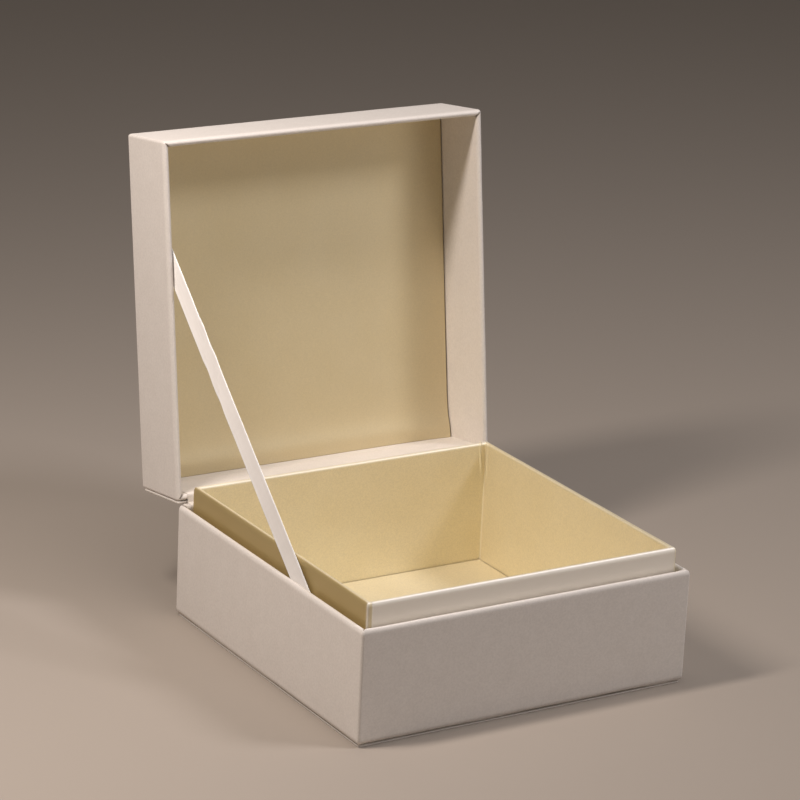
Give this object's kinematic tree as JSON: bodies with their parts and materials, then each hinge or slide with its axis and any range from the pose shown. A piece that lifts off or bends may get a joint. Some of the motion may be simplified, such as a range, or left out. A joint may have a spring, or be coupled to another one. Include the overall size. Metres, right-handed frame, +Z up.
{
  "type": "hinged jewelry gift box",
  "caption": "Square rigid gift box covered in off-white paper, with a raised pearl-lined inner neck, a paper-hinged lid and a satin ribbon that stops the lid.",
  "frame": {"origin": "centre of the underside, on the surface that the box stands on", "axes": "+X to the right side, -Y to the front, +Y to the hinge at the back, +Z up; the lid is stored open, as the ribbon holds it"},
  "size_m": [0.15, 0.2, 0.1948],
  "materials": {
    "covering_paper": "uncoated off-white covering paper with a fine felt texture, satin-matte",
    "pearl_paper": "champagne pearlescent coated paper, soft metallic sheen",
    "greyboard": "unbleached grey chipboard, matte",
    "corner_tape": "gummed kraft paper tape, matte",
    "satin_ribbon": "white polyester satin ribbon with woven selvedges, bright sheen"
  },
  "bodies": {
    "base": {"base_board": "greyboard", "base_cover_paper": "covering_paper", "base_corner_tape_front_left": "corner_tape", "base_corner_tape_front_right": "corner_tape", "base_corner_tape_back_left": "corner_tape", "base_corner_tape_back_right": "corner_tape", "base_underside_panel": "covering_paper", "neck_board": "greyboard", "neck_cover_paper": "pearl_paper", "floor_card": "greyboard", "floor_paper": "pearl_paper", "hinge_strip_base_half": "covering_paper", "hinge_lining_base_half": "covering_paper", "ribbon_base_tab": "satin_ribbon", "ribbon_span": "satin_ribbon"},
    "lid": {"lid_board": "greyboard", "lid_cover_paper": "covering_paper", "lid_corner_tape_front_left": "corner_tape", "lid_corner_tape_front_right": "corner_tape", "lid_corner_tape_back_left": "corner_tape", "lid_corner_tape_back_right": "corner_tape", "lid_lining_card": "greyboard", "lid_lining_paper": "pearl_paper", "lid_hinge_flap": "covering_paper", "hinge_strip_lid_half": "covering_paper", "hinge_lining_lid_half": "covering_paper", "ribbon_lid_tab": "satin_ribbon"}
  },
  "joints": [
    {"name": "lid_hinge", "type": "hinge", "parent": "base", "child": "lid", "pos_m": [0, 0.07415, 0.04795], "axis": [1, 0, 0], "range_deg": [0, 97.8], "deforming": ["ribbon_span"]}
  ]
}
